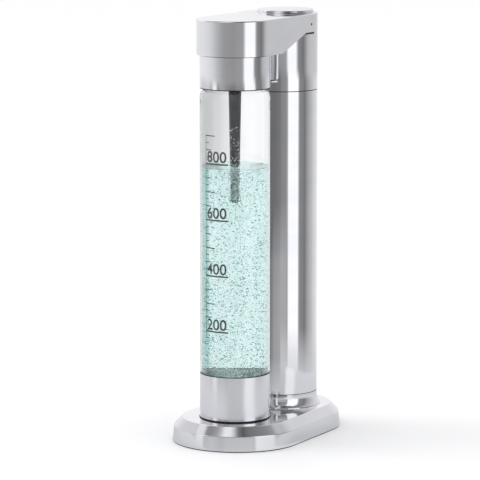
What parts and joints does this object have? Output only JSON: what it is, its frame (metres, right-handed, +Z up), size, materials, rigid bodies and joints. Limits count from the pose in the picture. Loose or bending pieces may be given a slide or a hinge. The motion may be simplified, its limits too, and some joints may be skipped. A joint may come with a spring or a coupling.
{
  "type": "soda carbonator",
  "caption": "Slim countertop soda carbonator: polished oval base, gas column, tilting head with push button, and a clear lock-in bottle of tinted sparkling water in a steel cup.",
  "frame": {"origin": "on the floor, at the centre of the base's plan, midway between the bottle's axis and the column's axis", "axes": "+Z up, +Y from the bottle towards the column (rear), +X to the object's own right as seen from the front"},
  "size_m": [0.13, 0.2104, 0.4268],
  "materials": {
    "polished_steel": "mirror polished",
    "brushed_cup": "fine satin",
    "black_plastic": "moulded, fine grain",
    "black_rubber": "matt",
    "black_nozzle": "satin black",
    "clear_bottle": "clear, glossy",
    "tinted_water": "clear pale teal with gas bubbles",
    "cylinder_paint": "satin enamel",
    "brass": "machined",
    "aluminium": "machined",
    "plain_steel": "plain, bright",
    "cover_plate": "matt black powder coat"
  },
  "bodies": {
    "root": {"base_plate": "cover_plate", "base_screws": "plain_steel", "base_shell": "polished_steel", "block_screws": "plain_steel", "button_spring": "plain_steel", "column_skirt": "polished_steel", "cylinder_guides": "black_plastic", "cylinder_valve": "brass", "foot_gasket": "black_rubber", "gas_cylinder": "cylinder_paint", "gas_riser": "plain_steel", "hinge_bushes": "brass", "inner_frame": "black_plastic", "joint_sleeve": "black_plastic", "lever_pin": "plain_steel", "lower_tube": "polished_steel", "mount_ring": "aluminium", "mount_screws": "plain_steel", "pin_spring": "plain_steel", "rear_cap": "polished_steel", "rubber_foot": "black_rubber", "seat_ring": "black_rubber", "spring_seat": "black_plastic", "swivel_stem": "brass", "upper_housing": "polished_steel", "valve_block": "aluminium", "valve_seal": "black_rubber"},
    "head": {"head_shell": "polished_steel", "head_bottom": "black_plastic", "head_screws": "plain_steel", "hinge_pins": "plain_steel", "collar": "polished_steel", "collar_top_ring": "black_rubber", "collar_lip": "black_rubber", "lock_socket": "black_plastic", "bottle_seal": "black_rubber", "nozzle_holder": "aluminium", "nozzle": "black_nozzle", "nozzle_tip": "black_nozzle", "relief_valve": "brass", "swivel_body": "brass", "gas_tube": "plain_steel"},
    "bottle": {"bottle": "clear_bottle", "bottle_cup": "brushed_cup", "cup_insert": "black_plastic", "cup_rim": "black_rubber", "water": "tinted_water"},
    "button": {"push_button": "polished_steel", "button_plunger": "black_plastic"},
    "lever": {"valve_lever": "plain_steel"},
    "pin": {"valve_pin": "plain_steel"},
    "cap": {"access_cap": "black_plastic", "cap_pad": "black_rubber"}
  },
  "joints": [
    {"name": "head_tilt", "type": "hinge", "parent": "root", "child": "head", "pos_m": [0, 0.0385, 0.4139], "axis": [-1, 0, 0], "range_deg": [0, 25]},
    {"name": "bottle_twist", "type": "hinge", "parent": "head", "child": "bottle", "pos_m": [0, -0.0444, 0.37], "axis": [0, 0, 1], "range_deg": [0, 60]},
    {"name": "button_press", "type": "slide", "parent": "root", "child": "button", "axis": [0, 0, -1], "range_m": [0, 0.0025], "stiffness_N_per_m": 2000, "springref_m": -0.003, "deforming": ["button_spring"]},
    {"name": "lever_swing", "type": "hinge", "parent": "root", "child": "lever", "pos_m": [0, 0.028, 0.398], "axis": [-1, 0, 0], "range_deg": [0, 6.3]},
    {"name": "pin_slide", "type": "slide", "parent": "root", "child": "pin", "axis": [0, 0, -1], "range_m": [0, 0.0018], "deforming": ["pin_spring"]},
    {"name": "cap_twist", "type": "hinge", "parent": "root", "child": "cap", "pos_m": [0, 0.0444, 0.003], "axis": [0, 0, 1], "range_deg": [0, 45]}
  ],
  "couplings": [
    {"joint": "lever_swing", "follows": "button_press", "rad_per_m": 43.478},
    {"joint": "pin_slide", "follows": "button_press", "ratio": 0.71304}
  ]
}
